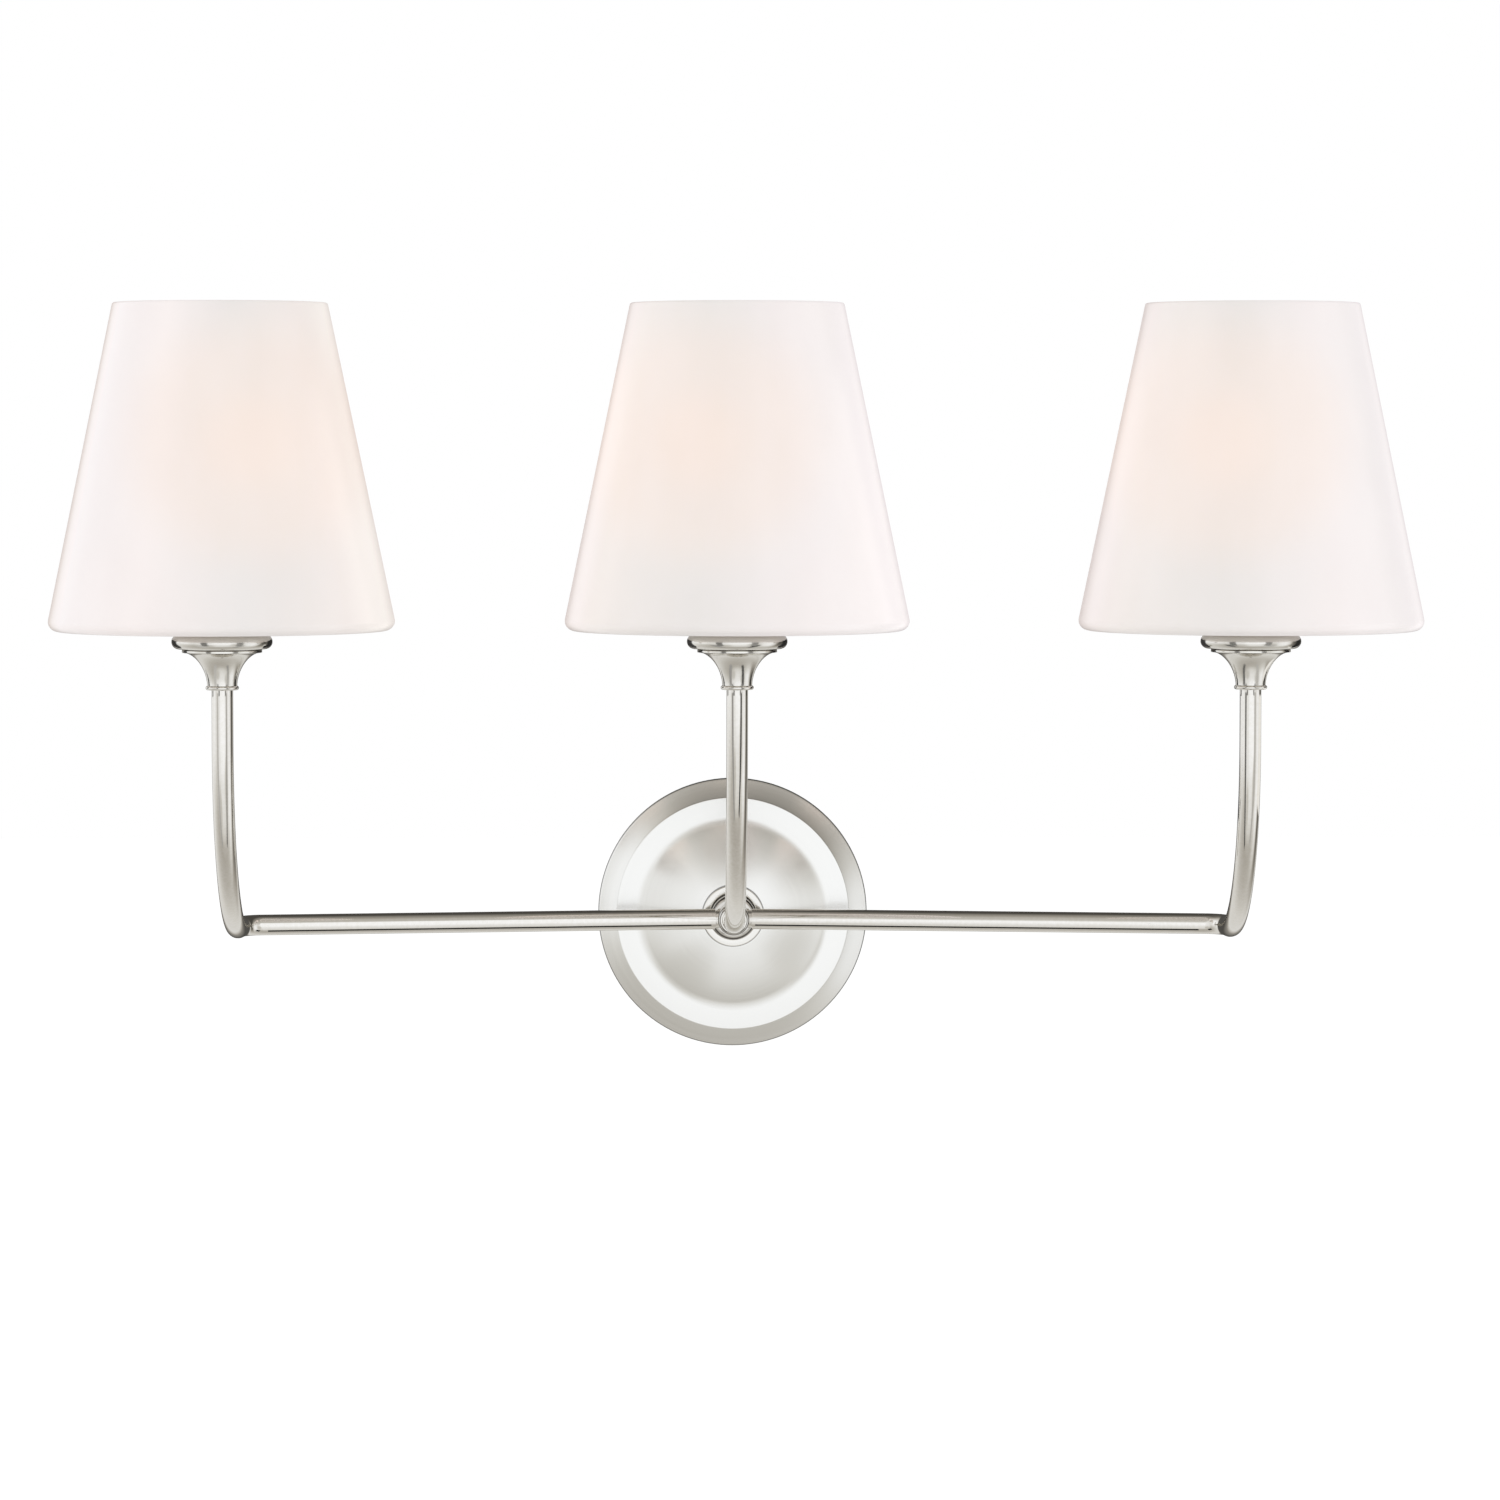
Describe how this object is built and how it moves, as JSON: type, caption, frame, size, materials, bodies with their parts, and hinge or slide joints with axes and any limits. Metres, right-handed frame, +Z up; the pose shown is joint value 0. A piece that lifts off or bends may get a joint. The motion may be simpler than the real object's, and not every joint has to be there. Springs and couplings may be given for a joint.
{
  "type": "vanity light bar",
  "caption": "Wall-mounted vanity light bar: a round backplate carries bent tube arms, each ending in a flared cup and seat disc with a lampholder, a bulb and a tapered opal glass shade.",
  "frame": {"origin": "on the wall, at the centre of the round backplate's back", "axes": "+X to the right of someone who faces the wall, +Z up, -Y out into the room, +Y into the wall"},
  "size_m": [0.6062, 0.2426, 0.3468],
  "materials": {
    "satin_nickel": "brushed satin nickel plate, warm grey",
    "opal_glass": "blown opal glass, smooth and glossy, opaque white",
    "frosted_glass": "frosted bulb glass",
    "nickel_cap": "pressed screw cap, bright",
    "brass": "plain turned or pressed brass",
    "zinc_plated_steel": "bright zinc plate",
    "green_screw": "green grounding screw",
    "phenolic": "moulded off-white phenolic",
    "lead_sleeve": "heat-proof lead sleeve"
  },
  "bodies": {
    "fixture": {"backplate": "satin_nickel", "crossbar": "zinc_plated_steel", "ground_screw": "green_screw", "nipple": "brass", "locknut": "zinc_plated_steel", "post": "satin_nickel", "canopy_ring": "satin_nickel", "hub": "satin_nickel", "middle_collar": "satin_nickel", "splice_cap": "phenolic", "arm_left": "satin_nickel", "lead_left": "lead_sleeve", "cup_left": "satin_nickel", "seat_disc_left": "satin_nickel", "lamp_nipple_left": "brass", "lampholder_left": "phenolic", "screw_shell_left": "brass", "contact_left": "brass", "shade_nut_left": "satin_nickel", "shade_left": "opal_glass", "arm_middle": "satin_nickel", "lead_middle": "lead_sleeve", "cup_middle": "satin_nickel", "seat_disc_middle": "satin_nickel", "lamp_nipple_middle": "brass", "lampholder_middle": "phenolic", "screw_shell_middle": "brass", "contact_middle": "brass", "shade_nut_middle": "satin_nickel", "shade_middle": "opal_glass", "arm_right": "satin_nickel", "lead_right": "lead_sleeve", "cup_right": "satin_nickel", "seat_disc_right": "satin_nickel", "lamp_nipple_right": "brass", "lampholder_right": "phenolic", "screw_shell_right": "brass", "contact_right": "brass", "shade_nut_right": "satin_nickel", "shade_right": "opal_glass"},
    "bulb_left": {"bulb_cap_left": "nickel_cap", "bulb_glass_left": "frosted_glass"},
    "bulb_middle": {"bulb_cap_middle": "nickel_cap", "bulb_glass_middle": "frosted_glass"},
    "bulb_right": {"bulb_cap_right": "nickel_cap", "bulb_glass_right": "frosted_glass"}
  },
  "joints": [
    {"name": "bulb_left_turn", "type": "hinge", "parent": "fixture", "child": "bulb_left", "pos_m": [-0.227, -0.16653, 0.16], "axis": [0, 0, 1], "range_deg": [0, 1620]},
    {"name": "bulb_middle_turn", "type": "hinge", "parent": "fixture", "child": "bulb_middle", "pos_m": [0, -0.16653, 0.16], "axis": [0, 0, 1], "range_deg": [0, 1620]},
    {"name": "bulb_right_turn", "type": "hinge", "parent": "fixture", "child": "bulb_right", "pos_m": [0.227, -0.16653, 0.16], "axis": [0, 0, 1], "range_deg": [0, 1620]}
  ]
}
